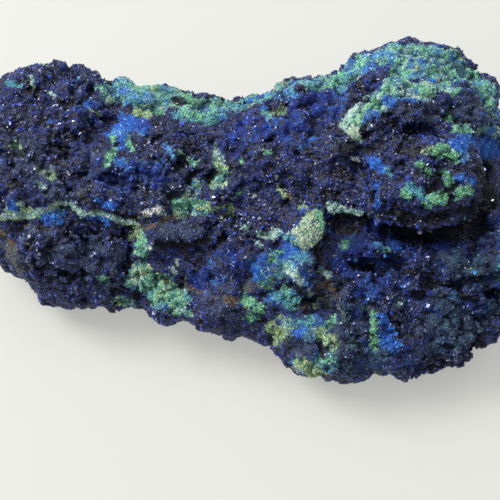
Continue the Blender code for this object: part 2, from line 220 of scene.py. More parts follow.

# Patches of one mineral or of painted shade: (radius in pixels, share, place, place...)
PATCHES = {
    "azure": (
        (7, 0.72, (110, 132), (126, 126), (146, 130)), (5, 0.7, (122, 138), (122, 146)),
        (6, 0.6, (124, 118), (146, 118)), (4, 0.7, (116, 160), (122, 164)), (4, 1.0, (12, 206), (15, 208)),
        (7, 0.8, (50, 220), (60, 216)), (5, 0.6, (92, 218), (108, 220)), (5, 0.6, (104, 202), (114, 206)),
        (5, 0.9, (364, 118), (376, 112)), (4, 1.0, (388, 98), (412, 99)), (4, 0.9, (382, 103), (394, 104)),
        (9, 0.85, (458, 144), (480, 148), (497, 150)), (6, 0.85, (373, 160), (380, 168)),
        (3, 0.8, (376, 185), (377, 210)), (3, 0.9, (303, 212), (322, 206)), (6, 0.7, (286, 248), (304, 250)),
        (6, 0.8, (254, 270), (262, 282)), (5, 0.75, (383, 318), (390, 332)), (6, 0.6, (384, 338), (392, 346)),
        (4, 0.6, (158, 304), (168, 310)), (6, 0.6, (256, 104), (268, 112)), (4, 0.6, (236, 96), (250, 94)),
        (4, 0.7, (456, 178), (474, 182)), (4, 0.5, (298, 338), (306, 334)), (4, 0.6, (350, 62), (370, 58)),
        (3, 0.5, (46, 123), (50, 122)),
    ),
    "sky": (
        (5, 0.58, (116, 132), (128, 130), (140, 134)), (6, 0.7, (130, 92), (150, 96)),
        (4, 0.7, (166, 146), (174, 158)), (5, 0.75, (345, 64), (374, 56)), (3, 0.7, (346, 240), (354, 236)),
        (4, 0.7, (376, 244), (388, 248)), (5, 0.6, (262, 99), (296, 96)), (5, 0.6, (420, 98), (432, 88)),
        (4, 0.6, (480, 84), (488, 92)), (4, 0.55, (268, 250), (284, 258)), (7, 0.55, (462, 156), (486, 150)),
        (5, 0.5, (374, 350), (384, 356)), (4, 0.45, (450, 296), (466, 306)),
    ),
    "turquoise": (
        (6, 0.62, (176, 116), (200, 120), (218, 118)), (5, 0.6, (222, 108), (246, 106)),
        (5, 0.6, (260, 92), (292, 90)), (7, 0.65, (374, 58), (392, 58)), (5, 0.8, (410, 186), (424, 196)),
        (6, 0.8, (278, 298), (294, 302)), (6, 0.65, (132, 286), (150, 292)), (4, 0.5, (8, 82), (20, 86)),
        (5, 0.7, (298, 324), (310, 320)), (5, 0.6, (250, 262), (262, 258)), (5, 0.6, (322, 372), (334, 366)),
        (6, 0.6, (112, 86), (116, 98)), (3, 0.6, (386, 170), (392, 174)), (4, 0.6, (284, 236), (292, 240)),
        (3, 0.6, (198, 178), (190, 192)),
    ),
    "mint": (
        (5, 1.16, (318, 214), (321, 226)), (7, 0.8, (180, 102), (200, 104), (236, 103)),
        (3, 0.95, (434, 193), (443, 195)), (3, 0.9, (444, 150), (452, 152)),
        (2.5, 0.9, (420, 163), (426, 167)), (2.5, 0.9, (458, 192), (466, 190)),
        (2, 0.9, (445, 176), (448, 180)), (6, 0.8, (114, 80), (126, 84)), (5, 0.7, (178, 94), (200, 104)),
        (4, 0.7, (205, 106), (240, 102)), (4, 0.85, (113, 138), (112, 152), (108, 164)),
        (4, 0.7, (128, 136), (132, 150)), (3, 0.6, (120, 164), (124, 160)), (3, 0.7, (178, 152), (186, 158)),
        (4, 0.7, (190, 158), (194, 164)), (5, 0.7, (174, 204), (194, 202)), (4, 0.7, (330, 72), (346, 68)),
        (3, 0.7, (262, 112), (270, 116)), (5, 0.7, (444, 82), (456, 92)), (5, 0.6, (458, 128), (494, 134)),
        (4, 0.7, (448, 106), (450, 122)), (3, 0.9, (264, 152), (269, 153)), (4, 0.7, (344, 246), (347, 242)),
        (4, 0.6, (380, 248), (388, 252)), (7, 0.75, (264, 278), (270, 286)), (6, 0.9, (248, 302), (260, 310)),
        (5, 0.85, (247, 320), (254, 318)), (7, 0.7, (282, 292), (294, 304)), (5, 0.8, (272, 258), (278, 254)),
        (8, 0.7, (150, 284), (168, 290), (180, 298)), (5, 0.7, (332, 320), (328, 326)),
        (4, 0.8, (103, 278), (108, 284)), (5, 0.7, (322, 356), (330, 362)), (3, 0.6, (236, 196), (240, 192)),
        (4, 0.6, (10, 216), (60, 212)), (5, 0.5, (390, 52), (410, 58)), (3, 0.6, (242, 162), (240, 158)),
    ),
    "leaf": (
        (7, 0.95, (440, 150), (454, 156)), (5, 0.95, (418, 162), (430, 172)),
        (5, 0.85, (443, 172), (450, 182)), (8, 1.0, (434, 196), (446, 200)), (6, 0.9, (456, 196), (470, 190)),
        (4, 0.7, (424, 204), (430, 206)), (4, 0.9, (373, 314), (375, 332), (374, 346)),
        (5, 0.7, (180, 96), (196, 104)), (5, 0.6, (278, 270), (284, 262)), (4, 0.6, (404, 192), (408, 196)),
        (4, 0.6, (152, 108), (162, 112)), (3, 0.6, (112, 152), (106, 162)),
    ),
    "pale": (
        (5, 1.14, (299, 236), (305, 245)), (5, 0.9, (346, 130), (348, 120), (354, 108)),
        (4, 0.8, (366, 100), (380, 98)), (7, 0.80, (347, 124), (352, 112), (362, 106)),
        (5, 0.6, (400, 76), (424, 80)), (5, 0.72, (286, 268), (294, 272), (300, 282)),
        (6, 0.8, (330, 206), (342, 212)), (5, 0.75, (346, 212), (360, 214)),
        (5, 0.75, (260, 234), (272, 236)), (4, 0.7, (276, 232), (290, 234)), (4, 0.8, (320, 268), (328, 274)),
        (3, 0.7, (258, 242), (262, 246)), (3.5, 0.9, (31, 78), (33, 88)), (2.5, 0.8, (50, 92), (56, 95)),
        (2.5, 0.8, (37, 184), (44, 188)), (3, 0.7, (6, 208), (22, 204)), (4, 0.6, (138, 247), (150, 247)),
        (3, 0.6, (440, 60), (446, 58)), (3.4, 1.3, *SEAM[:8]), (2.6, 1.3, *SEAM[7:12]),
        (2.6, 1.2, (180, 216), (196, 214)), (3, 0.6, (240, 228), (246, 226)),
        (3, 0.6, (172, 268), (176, 272)), (3, 0.5, (166, 96), (178, 94)), (3, 0.6, (216, 150), (222, 160)),
        (5, 0.5, (398, 302), (402, 300)), (4, 0.5, (350, 270), (352, 276)),
    ),
    "lime": (
        (2.6, 1.1, (198, 208), (212, 207), (230, 205)), (3, 0.9, (10, 212), (30, 209)),
        (3.4, 1.08, (0, 218), (28, 216), (54, 206), (75, 209), (98, 213), (124, 223), (138, 226)),
        (4, 0.8, (132, 238), (136, 230)), (5, 0.8, (14, 146), (20, 150)), (5, 0.8, (40, 170), (52, 174)),
        (6, 0.75, (138, 112), (146, 116)), (4, 0.7, (108, 96), (112, 100)), (5, 0.8, (306, 216), (318, 216)),
        (4, 0.8, (135, 230), (140, 238)), (5, 0.75, (134, 268), (146, 272)), (4, 0.6, (160, 276), (176, 288)),
        (7, 0.85, (322, 336), (332, 344)), (6, 0.7, (272, 328), (284, 320)),
        (7, 0.75, (276, 342), (288, 330)), (9, 0.85, (300, 362), (318, 374)),
        (4, 0.6, (424, 152), (432, 148)), (2.5, 0.8, (278, 186), (286, 198)),
        (3, 0.6, (300, 206), (306, 208)), (3, 0.6, (90, 110), (98, 114)), (3, 0.6, (222, 218), (232, 210)),
        (5, 0.6, (268, 116), (282, 112)), (4, 0.6, (312, 294), (316, 306)), (4, 0.6, (414, 56), (424, 60)),
        (3, 0.6, (212, 186), (222, 184)), (4, 0.6, (250, 108), (256, 102)),
    ),
    "cream": (
        (9, 1.2, (303, 234), (314, 222)), (9, 1.2, (304, 240), (314, 240)), (5, 0.8, (350, 128), (355, 134)),
        (2.5, 0.8, (354, 136), (360, 142)), (5, 0.6, (296, 370), (306, 374)),
        (3, 0.7, (212, 188), (226, 184)), (4, 0.6, (322, 342), (330, 346)), (3, 0.6, (204, 208), (228, 206)),
        (3, 0.6, (146, 266), (150, 270)), (3, 0.5, (338, 308), (344, 316)), (4, 0.5, (340, 208), (350, 214)),
    ),
    "slate": (
        (10, 0.72, (396, 112), (432, 112)), (8, 0.6, (372, 122), (384, 118)),
        (9, 0.72, (168, 232), (196, 230)), (7, 0.5, (146, 196), (168, 190)),
        (11, 0.7, (284, 350), (306, 348)), (9, 0.6, (332, 368), (345, 378)),
        (9, 0.55, (210, 300), (226, 312)), (9, 0.5, (205, 284), (222, 280)), (10, 0.5, (90, 255), (104, 262)),
        (9, 0.5, (308, 262), (312, 275)), (9, 0.5, (400, 375), (410, 365)), (6, 0.5, (320, 150), (335, 152)),
    ),
    "teal": (
        (8, 0.55, (464, 118), (480, 108)), (10, 0.6, (350, 340), (362, 350)),
        (9, 0.5, (350, 362), (362, 368)), (9, 0.55, (470, 270), (490, 262)), (8, 0.5, (462, 300), (448, 302)),
        (8, 0.5, (350, 310), (346, 320)),
    ),
    "royal": (
        (12, 0.55, (300, 104), (338, 98)), (8, 0.6, (378, 80), (386, 88)), (10, 0.55, (455, 66), (468, 80)),
        (9, 0.6, (340, 262), (350, 270)), (10, 0.55, (395, 240), (376, 236)),
        (12, 0.5, (446, 246), (462, 252)), (8, 0.55, (132, 170), (112, 172)),
        (6, 0.6, (128, 122), (150, 126)), (9, 0.5, (232, 258), (246, 264)),
    ),
    "stone": (
        (9, 0.75, (8, 250), (14, 262)), (5, 0.6, (26, 280), (30, 290)), (6, 0.5, (64, 196), (80, 192)),
        (7, 0.55, (322, 300), (334, 302)), (5, 0.5, (62, 218), (74, 222)),
    ),
    "rust": (
        (2.5, 0.8, (24, 226), (44, 229), (60, 231)),
        (2.4, 1.1, (138, 226), (150, 227), (160, 223), (170, 218), (184, 216)),
        (1.8, 0.9, (183, 283), (192, 290), (206, 294), (216, 298)),
        (4, 0.7, (226, 300), (240, 300), (246, 306)), (3, 0.65, (318, 286), (330, 286), (340, 296)),
        (4, 0.6, (2, 232), (12, 246)), (3, 0.6, (288, 196), (292, 202)), (4, 0.6, (300, 308), (308, 304)),
        (3, 0.5, (122, 92), (126, 98)), (3, 0.5, (246, 320), (250, 312)), (3, 0.5, (128, 262), (136, 266)),
        (3, 0.45, (70, 212), (76, 220)),
    ),
    "buff": (
        (3.5, 1.0, (140, 216), (150, 212), (160, 208)), (3, 0.9, (158, 212), (166, 216)),
        (3, 1.0, (353, 158), (357, 160)), (1.3, 1.1, (466, 315), (467, 315)),
        (2, 0.7, (176, 260), (178, 264)), (2, 0.7, (46, 277), (48, 277)), (2, 0.6, (254, 196), (256, 194)),
        (2, 0.6, (276, 176), (277, 178)), (2.5, 0.6, (488, 188), (490, 192)),
    ),
    # Painted shade: dark patches where shadows fall, under the knob and the slab, in pits, cracks and clefts
    "painted_shade": (
        (3, 0.7, (394, 126), (412, 132), (430, 128)), (2.6, 1.0, (110, 214), (122, 217), (136, 217)),
        (4, 0.8, (451, 102), (450, 114)), (5, 0.9, (177, 100), (184, 105)),
        (3.5, 1.0, (319, 344), (324, 356)), (9, 0.85, (400, 230), (455, 232)),
        (8, 0.85, (474, 214), (486, 192), (482, 172)), (4, 0.7, (426, 193), (438, 180)),
        (6, 0.65, (345, 150), (368, 150)), (5, 0.7, (332, 240), (324, 236)),
        (2.5, 0.8, (158, 243), (186, 244), (208, 238)), (6, 0.6, (430, 284), (452, 284)),
        (2.5, 0.8, (386, 332), (402, 334), (420, 340)), (3, 0.7, (8, 154), (24, 155)),
    ),
}

# Crevices: (half width in pixels, depth, place, place...)
CREVICES = (
    (13.0, 4.2, (345, 227), (372, 228), (400, 230), (425, 234), (450, 234), (470, 228), (480, 214),
     (484, 198)),
    (4.5, 3.2, (486, 196), (484, 180), (488, 162)), (5.0, 2.6, (400, 216), (440, 218), (464, 210)),
    (4.5, 3.0, (424, 284), (452, 286), (478, 281), (499, 276)),
    (6.0, 2.2, (358, 264), (378, 268), (398, 262)), (3.5, 2.6, (317, 244), (319, 256), (320, 268)),
    (3.5, 2.4, (322, 236), (334, 240)), (5.0, 2.6, (102, 176), (118, 182), (134, 183)),
    (4.0, 2.6, (176, 168), (184, 161)), (2.6, 1.8, (186, 156), (199, 152)),
    (3.6, 2.6, (158, 244), (186, 246), (208, 240)), (2.6, 2.2, (94, 210), (110, 213), (124, 217), (136, 218)),
    (2.5, 1.8, (6, 153), (26, 153)), (2.5, 1.8, (12, 156), (12, 174)),
    (2.4, 1.6, (38, 172), (56, 163), (66, 152), (68, 142)), (2.2, 1.3, (44, 151), (60, 144)),
    (3.0, 1.8, (78, 84), (90, 83)), (3.0, 2.0, (102, 118), (112, 120)), (1.8, 1.3, (60, 116), (60, 136)),
    (2.2, 1.5, (50, 188), (66, 184)), (2.4, 1.6, (70, 180), (86, 172)), (3.0, 1.8, (76, 234), (82, 237)),
    (2.8, 1.8, (33, 240), (34, 262)), (2.2, 1.4, (38, 268), (58, 270)),
    (2.4, 1.8, (131, 242), (128, 258), (128, 276)), (1.6, 1.0, (132, 263), (152, 264)),
    (2.4, 1.4, (186, 250), (198, 254)), (2.2, 1.4, (28, 224), (44, 229), (52, 231)),
    (2.2, 1.5, (0, 223), (24, 222)), (2.4, 1.6, (28, 70), (36, 74)), (3.6, 2.6, (347, 148), (372, 150)),
    (3.0, 2.0, (340, 166), (345, 176)), (2.4, 1.6, (268, 184), (286, 187)),
    (2.4, 1.6, (302, 168), (312, 172)), (3.0, 2.0, (334, 116), (340, 132)),
    (2.4, 1.8, (394, 126), (412, 132), (430, 127)), (3.2, 2.4, (426, 193), (438, 181), (446, 168)),
    (2.4, 1.8, (446, 168), (462, 171), (482, 168)), (2.4, 1.6, (402, 246), (428, 248), (434, 256)),
    (2.4, 1.8, (448, 268), (466, 258), (476, 246)), (2.0, 1.6, (385, 331), (402, 334), (420, 340)),
    (2.0, 1.6, (430, 350), (450, 346), (476, 340)), (3.0, 2.6, (319, 340), (322, 350), (319, 360)),
    (1.8, 1.2, (350, 351), (362, 357)), (2.6, 2.4, (453, 97), (448, 110), (446, 118)),
    (2.4, 1.6, (478, 62), (470, 56)), (3.0, 1.8, (456, 62), (464, 78)), (2.0, 1.2, (403, 46), (402, 62)),
    (2.0, 1.2, (282, 162), (268, 168)), (1.8, 1.4, (352, 300), (366, 306), (374, 306)),
    (2.0, 1.3, (376, 312), (388, 318)), (2.6, 1.8, (306, 302), (320, 306), (336, 308)),
    (1.8, 1.2, (230, 270), (246, 280)), (2.4, 1.6, (255, 296), (272, 292)),
    (2.2, 1.5, (352, 256), (352, 274)), (2.2, 1.4, (404, 298), (424, 294)),
    (2.6, 1.8, (280, 285), (300, 287)), (2.2, 1.4, (232, 222), (250, 228)),
    (2.0, 1.3, (214, 222), (224, 236)), (2.2, 1.4, (296, 186), (310, 196)),
    (2.0, 1.2, (240, 132), (252, 142)), (2.0, 1.2, (196, 134), (206, 142)), (2.0, 1.2, (24, 100), (30, 116)),
    (2.0, 1.2, (140, 144), (148, 142)), (2.4, 1.6, (176, 99), (183, 106)), (2.0, 1.3, (318, 126), (306, 138)),
)

# How much crevices wobble, their flanks, and the depths over which their painted shade deepens
CREVICE_WOBBLE = 0.4
CREVICE_EDGE = (1.7, 0.2)
CREVICE_SHADE = (2.0, 0.2)

# The pale block: outline and flank in pixels, its face's height and tilt, and how far it reaches
BLOCK = ((309, 211), (325, 209), (323, 233), (314, 251), (293, 246), (294, 229))
BLOCK_HEIGHT = 3.0
BLOCK_FLANK = 4.0
BLOCK_TILT = (0.05, 0.09)
BLOCK_REACH = 14.0
BLOCK_EDGE = (0, 0.5)
BLOCK_CALM = 0.85

# Knolls: (place, radius in pixels, height). Their edge wobbles, and a shallow moat lies around them
KNOLL_WOBBLE = 0.15
KNOLL_EDGE = (1.15, 0.55)
MOAT_DEPTH, MOAT_PLACE, MOAT_WIDTH = 0.25, 1.2, 0.3
KNOLLS = (
    ((440, 198), 12, 2.2), ((464, 194), 9, 1.5), ((422, 167), 8, 1.6), ((446, 178), 5, 1.0),
    ((447, 153), 8, 1.2), ((330, 103), 15, 1.4), ((262, 274), 9, 1.0), ((294, 270), 8, 1.0),
    ((256, 306), 8, 1.6), ((286, 300), 10, 1.2), ((308, 368), 11, 1.0), ((329, 340), 8, 1.3),
    ((330, 154), 11, 1.0), ((180, 232), 14, 0.8), ((410, 112), 16, 0.8), ((112, 230), 10, 1.0),
    ((85, 222), 9, 0.8), ((60, 218), 10, 0.9), ((375, 240), 14, 1.2), ((455, 250), 15, 1.0),
    ((148, 284), 10, 1.0), ((352, 264), 9, 0.8), ((270, 168), 10, 0.7), ((405, 355), 12, 0.9),
    ((480, 265), 14, 0.9),
)

# Where no camera looked, each mineral lies in drifts: (kind, feature size, lowest level, share)
DRIFTS = (
    ("stone", 24.0, 0.02, 0.75),
    ("rust", 13.0, 0.42, 0.7),
    ("mint", 15.0, 0.34, 0.8),
    ("turquoise", 19.0, 0.28, 0.8),
    ("azure", 12.0, 0.40, 0.75),
    ("royal", 17.0, 0.10, 0.6),
    ("pale", 8.0, 0.55, 0.8),
    ("lime", 10.0, 0.50, 0.8),
    ("slate", 16.0, 0.20, 0.6),
)
DRIFT_EDGE = 0.25
DRIFT_STEP, NOISE_STEP = 5, 7
DRIFT_WOBBLE = 0.3
# Kinds that prefer the underside or the back: where these begin, and what they add
BELOW, BEHIND = (0.1, -0.6), (0.2, 0.8)
BELOW_LIFTS = {"stone": (0.55, -0.3)}
BEHIND_LIFTS = {"mint": 0.2, "turquoise": 0.25}
# Kinds weaker than this take no part
FAINT = 0.02

# Crystals of an odd colour, by the share of all: greyish, violet and brownish
ODD_CRYSTALS = (
    (0.30, 0.312, (0.062, 0.050, 0.042)),
    (0.36, 0.54, (0.080, 0.092, 0.165)),
    (0.56, 0.63, (0.042, 0.036, 0.200)),
)

# Painted shade and highlight: how much of its colour a crystal or a grain has in a cavity and on a crest
CRYSTAL_SHADE_AND_HIGHLIGHT = (0.10, 2.20)
GRAIN_SHADE_AND_HIGHLIGHT = (0.55, 1.60)
# Crystals are only of these kinds, one of them painted shade, and these shares of the grains are blue
CRYSTAL_KINDS = ("azurite", "royal", "azure", "slate", "teal", "painted_shade")
BLUE_GRAINS = (("azure", 0.035), ("teal", 0.03))

# Where crystals and grains lie: (weight, kinds), less below and in cavities
CRYSTAL_GROUND = ((1.0, ("azurite", "royal")), (0.55, ("azure", "painted_shade")), (0.7, ("slate", "teal")))
GRAIN_GROUND = ((1.0, GRAINY), (0.5, ("azure",)))
UPPER = (-0.5, 0.1)
BELOW_SHARE, UPPER_SHARE = 0.15, 0.85
CAVITY_SHARE, CREST_GAIN = 0.3, 0.7
# How deep they sink, how they lean, and how their size, shape and tone vary
GRAIN_SINK, CRYSTAL_SINK = 0.20, 0.30
LEAN = 0.45
SIZE_SPREAD, SHAPE_SPREAD, CORNER_SPREAD, TONE_SPREAD = 0.30, 0.15, 0.12, 0.24
LIGHTEST = 0.9
# Azurite's zones of royal blue, its tones by lump and by chance, and its few bright and dark crystals
ZONE_SIZE, ZONE_EDGE, ZONE_LUMP, ROYAL_SHARE = 9.0, (-0.25, 0.55), 0.8, 0.7
LUMP_TONES, CHANCE_TONES, ODD_TONES = (0.65, 0.7), (0.75, 0.5), (0.6, 0.8)
BRIGHT_FEW, DARK_FEW = (0.10, 2.2), (0.90, 0.40)

# Crystals: name, shape, how many, half sizes in millimetres
CRYSTAL_PIECES = (
    ("azurite_bipyramids", "bipyramid", 18000, (0.25, 0.21, 0.40)),
    ("azurite_wedges", "wedge", 12000, (0.31, 0.23, 0.38)),
    ("azurite_blocks", "block", 6000, (0.29, 0.22, 0.32)),
    ("azurite_splinters", "splinter", 46000, (0.25, 0.22, 0.40)),
    ("mineral_grains", "bipyramid", 24000, (0.27, 0.27, 0.28)),
    ("mineral_crumbs", "splinter", 25000, (0.26, 0.26, 0.30)),
)

# The crust's shader: (size, detail) of noise, then layers of (what they follow, range, tint, blend)
BROAD_NOISE, FINE_NOISE, BEND, GRAIN_SCALE = (7.0, 3.0), (0.8, 3.0), (1.2, 0.8), 1.15
# Painted shade in hollows: the "proud" layers darken the crust where the relief is a cavity
HOLLOW_SHADE_RANGE = (0.0, 0.8, 0.9, 0.0)
# The "near" layers are painted shade in the gaps between grains
AZURITE_LAYERS = (
    ("broad", (0.40, 0.66), COLOURS["royal"], "MIX"),
    ("own", (0.55, 1.0), (0.034, 0.042, 0.150), "MIX"),
    ("near", (0.30, 0.62), (0.003, 0.004, 0.014), "MIX"),
    ("proud", HOLLOW_SHADE_RANGE, (0.05, 0.06, 0.14), "MULTIPLY"),
)
COVER_LAYERS = (
    ("own", (0.0, 1.0), (0.72, 0.76, 0.82), "MULTIPLY"),
    ("own", (0.90, 0.94), (0.25, 0.45, 0.80), "MULTIPLY"),
    ("near", (0.34, 0.64), (0.34, 0.46, 0.60), "MULTIPLY"),
    ("proud", HOLLOW_SHADE_RANGE, (0.30, 0.40, 0.55), "MULTIPLY"),
)
EDGE_GRAIN, EDGE_RANGE = (0.0, 1.0, -0.28, 0.28), (0.40, 0.56)
CRUST_ROUGHNESS, CRUST_IOR, FINE_RELIEF, BUMP_DISTANCE = (0.38, 0.72), 1.45, 0.7, 0.00045
# The crystals' shaders: lowest and highest roughness and IOR, and how uneven their faces are
GLOSSY, DULL = (0.10, 0.36, 1.73), (0.45, 0.70, 1.45)
FACE_NOISE, FACE_RANGE, FACE_TINT = (0.5, 2.0), (0.35, 0.7), (0.72, 0.72, 0.75)
GLOSS_NOISE, GLOSS_RANGE = (1.1, 1.0), (0.35, 0.65)

# Lights: name, place, size, power, colour, whether it lights only what is glossy
LIGHTS = (
    ("window", (-0.98, 0.38, 0.98), (0.7, 0.7), 17.0, (1.0, 0.985, 0.95), False),
    ("sparkle", (-0.25, 0.75, 1.15), (0.35, 0.35), 8.5, (1.0, 0.99, 0.97), True),
    ("side_sparkle", (0.75, 0.45, 1.0), (0.30, 0.30), 3.0, (0.95, 0.97, 1.0), True),
)
# The room is bright towards the window and dim behind the camera
WORLD_BRIGHT = (0.86, 0.88, 0.91)
WORLD_DIM = (0.07, 0.075, 0.085)
BRIGHT_WAY = (-0.52, 0.34, 0.78)
BRIGHT_RANGE = (-0.25, 1.0)
FLOOR_COLOUR = (0.400, 0.400, 0.375, 1.0)
FLOOR_ROUGHNESS = 0.8
GLOW_COLOUR = (1.0, 0.99, 0.93, 1.0)
FLOOR_GLOW = 0.38
FLOOR_HALF = 3.0
CLIP = (0.01, 20.0)


def clear_scene():
    for item in list(bpy.data.objects):
        bpy.data.objects.remove(item)


def hashed(cells, seed):
    """A number from 0 to 1 for each row of whole numbers."""
    h = cells[:, 0] * PRIMES[0] ^ cells[:, 1] * PRIMES[1] ^ cells[:, 2] * PRIMES[2] ^ seed * PRIMES[3]
    h = (h ^ (h >> 15)) * MIXERS[0] & 0xFFFFFFFF
    h = (h ^ (h >> 13)) * MIXERS[1] & 0xFFFFFFFF
    h = h ^ (h >> 16)
    return (h & 0xFFFFFF) / float(0x1000000)


def turned(points, seed):
    """The points in axes of their own, so that layers of noise don't line up."""
    a = 0.7 + seed * 1.37
    b = 0.4 + seed * 0.91
    spin = np.array([[math.cos(a), -math.sin(a), 0], [math.sin(a), math.cos(a), 0], [0, 0, 1]])
    tip = np.array([[1, 0, 0], [0, math.cos(b), -math.sin(b)], [0, math.sin(b), math.cos(b)]])
    return points @ (spin @ tip).T + seed * 3.1


def drift(points, size, seed):
    """Smooth noise from -1 to 1, with features of the given size."""
    p = turned(points, seed) / size
    cell = np.floor(p).astype(np.int64)
    f = p - cell
    f = f * f * (3 - 2 * f)
    total = np.zeros(len(points))
    for corner in itertools.product((0, 1), repeat=3):
        weight = np.ones(len(points))
        for axis in range(3):
            weight = weight * (f[:, axis] if corner[axis] else 1 - f[:, axis])
        total += weight * hashed(cell + np.array(corner), seed)
    return total * 2 - 1


def rough(points, size, seed):
    """Three octaves of drift, from about -1 to 1."""
    return (drift(points, size, seed) + 0.5 * drift(points, size / 2, seed + 1)
            + 0.25 * drift(points, size / 4, seed + 2)) / ROUGH_REACH


def cells(points, size, seed):
    """Of points scattered one size apart: distances to the nearest two, and the nearest's number."""
    p = turned(points, seed) / size
    home = np.floor(p).astype(np.int64)
    first = np.full(len(p), FAR)
    second = np.full(len(p), FAR)
    own = np.zeros(len(p))
    for step in itertools.product((-1, 0, 1), repeat=3):
        cell = home + np.array(step)
        at = cell + np.stack([hashed(cell, seed + k) for k in (11, 12, 13)], axis=1)
        d = np.sqrt(((p - at) ** 2).sum(axis=1))
        nearer = d < first
        second = np.where(nearer, first, np.minimum(second, d))
        own = np.where(nearer, hashed(cell, seed + 14), own)
        first = np.where(nearer, d, first)
    return first, second, own


def ramp(x, low, high):
    """From 0 at low to 1 at high, smoothly. Low may be above high."""
    t = np.clip((x - low) / (high - low), 0, 1)
    return t * t * (3 - 2 * t)


def new_object(name, mesh):
    made = bpy.data.objects.new(name, mesh)
    bpy.context.scene.collection.objects.link(made)
    return made


def vectors(items, name):
    rows = np.zeros(len(items) * 3, np.float32)
    items.foreach_get(name, rows)
    return rows.reshape(-1, 3).astype(float)


def coordinates(mesh):
    return vectors(mesh.vertices, "co")


def normals(mesh):
    return vectors(mesh.vertex_normals, "vector")


def set_coordinates(mesh, points):
    mesh.vertices.foreach_set("co", points.astype(np.float32).ravel())
    mesh.update()


def keep_values(mesh, name, values):
    """Stores one number for each vertex."""
    mesh.attributes.new(name, "FLOAT", "POINT").data.foreach_set("value", values.astype(np.float32))


def kept_values(mesh, name):
    values = np.zeros(len(mesh.vertices), np.float32)
    mesh.attributes[name].data.foreach_get("value", values)
    return values.astype(float)


def with_modifiers(item, changes):
    """Applies modifiers, given as (kind, settings), to the object's mesh."""
    for kind, settings in changes:
        modifier = item.modifiers.new(kind.title(), kind)
        for key, value in settings.items():
            setattr(modifier, key, value)
    ready = item.evaluated_get(bpy.context.evaluated_depsgraph_get())
    mesh = bpy.data.meshes.new_from_object(ready)
    item.modifiers.clear()
    item.data = mesh


def knobs(points, size, height, seed):
    """Rounded bumps that meet in creases."""
    first, _, own = cells(points, size, seed)
    return height * (KNOB_TOP - first ** 2 * KNOB_FALL + KNOB_CHANCE * (own - 0.5))


def gaps(points, size, depth, seed):
    """Crooked crevices between bumps, where the noise is near zero."""
    way = np.stack([rough(points, size, seed + k) for k in (21, 24, 27)], axis=1)
    first, second, _ = cells(points + way * size * GAP_WANDER, size, seed)
    crack = ramp(second - first, *GAP_EDGE)
    return -depth * crack * ramp(drift(points, size * GAP_FIELD, seed + 31), *GAP_PRESENCE)


def crevice_depth(points, tree):
    """How deep the crevices cut at each point, in millimetres."""
    wobble = CREVICE_WOBBLE * rough(points, EDGE_SIZE, EDGE_SEED)
    cut = np.zeros(len(points))
    for half_width, depth, *places in CREVICES:
        away = radii_away(points, tree, half_width, places) + wobble
        cut = np.maximum(cut, depth * ramp(away, *CREVICE_EDGE))
    return cut


def block_shape(points, tree):
    """An angular block: from 0 outside to 1 inside its outline, and how far its flat, tilted face rises."""
    way = points - EYE
    scale = DISTANCE / HALF_WIDTH * IMAGE_CENTRE / (way @ FORWARD)
    px, py = way @ RIGHT * scale, -(way @ UP) * scale
    outline = np.array(BLOCK, float) - IMAGE_CENTRE
    middle = outline.mean(axis=0)
    depth = np.full(len(points), FAR)
    for a, b in zip(outline, np.roll(outline, -1, axis=0)):
        edge = (b - a) / np.linalg.norm(b - a)
        depth = np.minimum(depth, (py - a[1]) * edge[0] - (px - a[0]) * edge[1])
    centre = on_surface(tree, tuple(middle + IMAGE_CENTRE))
    near = np.linalg.norm(points - centre, axis=1) < BLOCK_REACH
    inside = np.clip(depth / BLOCK_FLANK, 0, 1) * near
    face = BLOCK_HEIGHT - BLOCK_TILT[0] * (px - middle[0]) - BLOCK_TILT[1] * (py - middle[1])
    return ramp(inside, *BLOCK_EDGE), inside * face


def calmness(points, directions, tree):
    """How gentle the relief is: 0 on azurite, 1 on earthy ground, more along the seam and on the block."""
    wobble = SEAM_WOBBLE * rough(points, EDGE_SIZE, SEAM_SEED)
    along_seam = closeness(points, tree, SEAM_RADIUS, SEAM, wobble)
    calm = np.maximum(amount(minerals(points, directions, tree), EARTHY), SEAM_CALM * along_seam)
    return np.maximum(calm, SEAM_CALM * block_shape(points, tree)[0])


def carve(stone):
    """The stone's solid with its first relief: swells, large nodules, crevices, knolls and the pale block."""
    mesh = stone.data.copy()
    mesh.materials.clear()
    piece = new_object("crust", mesh)
    set_coordinates(mesh, coordinates(mesh) / MM)
    with_modifiers(piece, [
        ("WELD", {"merge_threshold": WELD_REACH}),
        ("REMESH", {"mode": "VOXEL", "voxel_size": COARSE_VOXEL}),
        ("SMOOTH", {"factor": SMOOTHING, "iterations": COARSE_PASSES}),
    ])
    p = coordinates(piece.data)
    n = normals(piece.data)
    above = ramp(p[:, 2], *COARSE_FOOT)
    tree = BVHTree.FromObject(piece, bpy.context.evaluated_depsgraph_get())
    calm = calmness(p, n, tree)
    relief = sum(depth * rough(p, size, SWELL_SEED + k) for k, (size, depth) in enumerate(SWELLS))
    relief = relief + (knobs(p, *BIG_NODULES, BIG_SEED) + gaps(p, *GAPS, GAP_SEED)) * (1 - BIG_CALM * calm)
    relief = relief - crevice_depth(p, tree)
    wobble = rough(p, EDGE_SIZE, EDGE_SEED)
    for place, radius, height in KNOLLS:
        away = radii_away(p, tree, radius, [place]) + KNOLL_WOBBLE * wobble
        moat = MOAT_DEPTH * ramp(np.abs(away - MOAT_PLACE), MOAT_WIDTH, 0.0)
        relief = relief + height * (ramp(away, *KNOLL_EDGE) - moat)
    inside, rise = block_shape(p, tree)
    relief = relief * (1 - BLOCK_CALM * inside) + rise
    set_coordinates(piece.data, p + n * (relief * above)[:, None])
    with_modifiers(piece, [
        ("REMESH", {"mode": "VOXEL", "voxel_size": FINE_VOXEL}),
        ("SMOOTH", {"factor": SMOOTHING, "iterations": FINE_PASSES}),
    ])
    return piece


